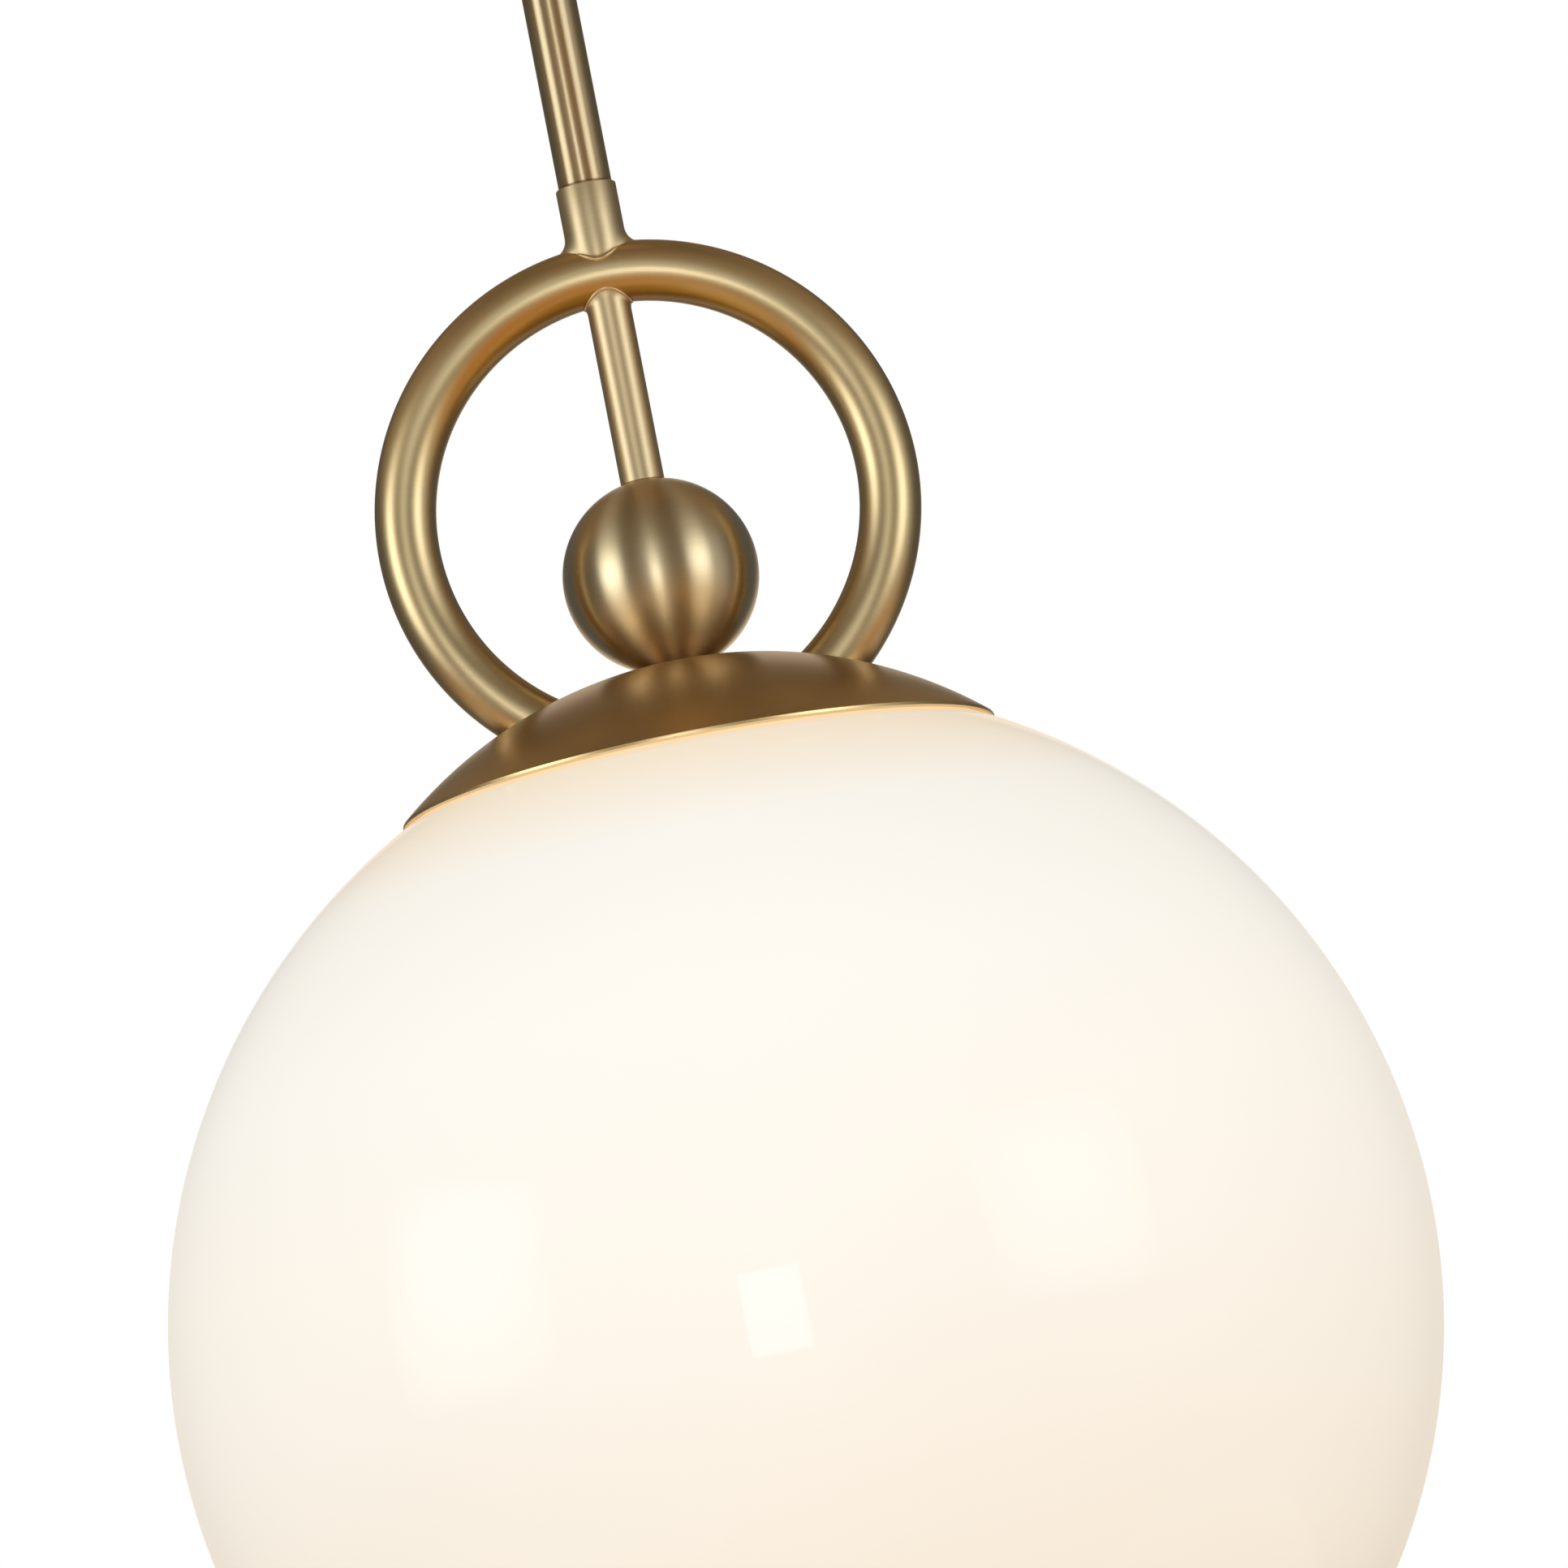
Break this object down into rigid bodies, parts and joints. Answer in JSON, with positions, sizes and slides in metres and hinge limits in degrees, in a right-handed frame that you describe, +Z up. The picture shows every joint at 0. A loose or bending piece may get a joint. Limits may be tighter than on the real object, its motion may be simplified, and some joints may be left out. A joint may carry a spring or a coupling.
{
  "type": "pendant ceiling light",
  "caption": "Pendant ceiling light: brass canopy with a swivel, slim stem, open ring with spindle and ball, domed cap and a lit opal glass globe that screws on.",
  "frame": {"origin": "centre of the ceiling plane, midway between the two outlet box screws", "axes": "+Z up into the ceiling, X along the crossbar and across the ring's face, the light hangs along -Z"},
  "size_m": [0.2999, 0.3, 0.769],
  "materials": {
    "brass": "satin antique brass, finely brushed",
    "zinc_steel": "zinc plated steel",
    "liner_nylon": "natural nylon",
    "white_metal": "white enamel",
    "ground_green": "green dyed steel",
    "wire_nut": "moulded plastic",
    "wire_black": "wire insulation",
    "wire_white": "wire insulation",
    "wire_green": "wire insulation",
    "porcelain": "glazed porcelain",
    "contact_brass": "bright brass",
    "bulb_nickel": "nickel plated",
    "bulb_black": "black vitreous insulator",
    "bulb_white": "white moulding",
    "bulb_board": "white masked board",
    "bulb_opal": "lit opal diffuser",
    "seal_rubber": "silicone",
    "opal_glass": "glossy opal glass, lit from inside"
  },
  "bodies": {
    "canopy": {"canopy": "brass", "crossbar": "zinc_steel", "crossbar_studs": "zinc_steel", "stud_nuts": "zinc_steel", "canopy_cap_nuts": "brass", "swivel_seat": "zinc_steel", "swivel_liner": "liner_nylon", "ground_screw": "ground_green", "wire_nuts": "wire_nut", "live_tail": "wire_black", "neutral_tail": "wire_white", "ground_tail": "wire_green"},
    "swivel_pin": {"swivel_pin": "zinc_steel"},
    "pendant": {"swivel_ball": "brass", "swivel_nipple": "zinc_steel", "upper_stem": "brass", "stem_nipple": "zinc_steel", "lower_stem": "brass", "collar_nipple": "zinc_steel", "ring": "brass", "ring_collar": "brass", "ring_end_plugs": "zinc_steel", "ring_screws": "zinc_steel", "spindle": "brass", "centre_ball": "brass", "cap": "brass", "cap_washer": "zinc_steel", "cap_nut": "zinc_steel", "fitter_spacer": "zinc_steel", "globe_fitter": "white_metal", "fitter_nut": "zinc_steel", "socket_body": "porcelain", "socket_shell": "contact_brass", "socket_terminals": "contact_brass", "live_lead": "wire_black", "neutral_lead": "wire_white"},
    "globe_seal": {"globe_gasket": "seal_rubber"},
    "globe": {"globe": "opal_glass"},
    "contact": {"centre_contact": "contact_brass"},
    "bulb": {"bulb_tip": "contact_brass", "bulb_insulator": "bulb_black", "bulb_base": "bulb_nickel", "bulb_housing": "bulb_white", "bulb_led_board": "bulb_board", "bulb_envelope": "bulb_opal"}
  },
  "joints": [
    {"name": "swing_x", "type": "hinge", "parent": "canopy", "child": "swivel_pin", "pos_m": [0, 0, -0.0252], "axis": [1, 0, 0], "range_deg": [-20, 20], "deforming": ["live_tail", "neutral_tail"]},
    {"name": "swing_y", "type": "hinge", "parent": "swivel_pin", "child": "pendant", "pos_m": [0, 0, -0.0252], "axis": [0, 1, 0], "range_deg": [-20, 20], "deforming": ["live_tail", "neutral_tail"]},
    {"name": "globe_drop", "type": "slide", "parent": "pendant", "child": "globe_seal", "axis": [0, 0, -1], "range_m": [0, 0.005]},
    {"name": "globe_turn", "type": "hinge", "parent": "globe_seal", "child": "globe", "pos_m": [0, 0, -0.47754], "axis": [0, 0, -1], "range_deg": [0, 450.1]},
    {"name": "bulb_drop", "type": "slide", "parent": "pendant", "child": "contact", "axis": [0, 0, -1], "range_m": [0, 0.00181]},
    {"name": "bulb_turn", "type": "hinge", "parent": "contact", "child": "bulb", "pos_m": [0, 0, -0.50744], "axis": [0, 0, -1], "range_deg": [0, 180.1]}
  ],
  "couplings": [
    {"joint": "globe_turn", "follows": "globe_drop", "rad_per_m": 1570.8},
    {"joint": "bulb_turn", "follows": "bulb_drop", "rad_per_m": 1730.9}
  ]
}
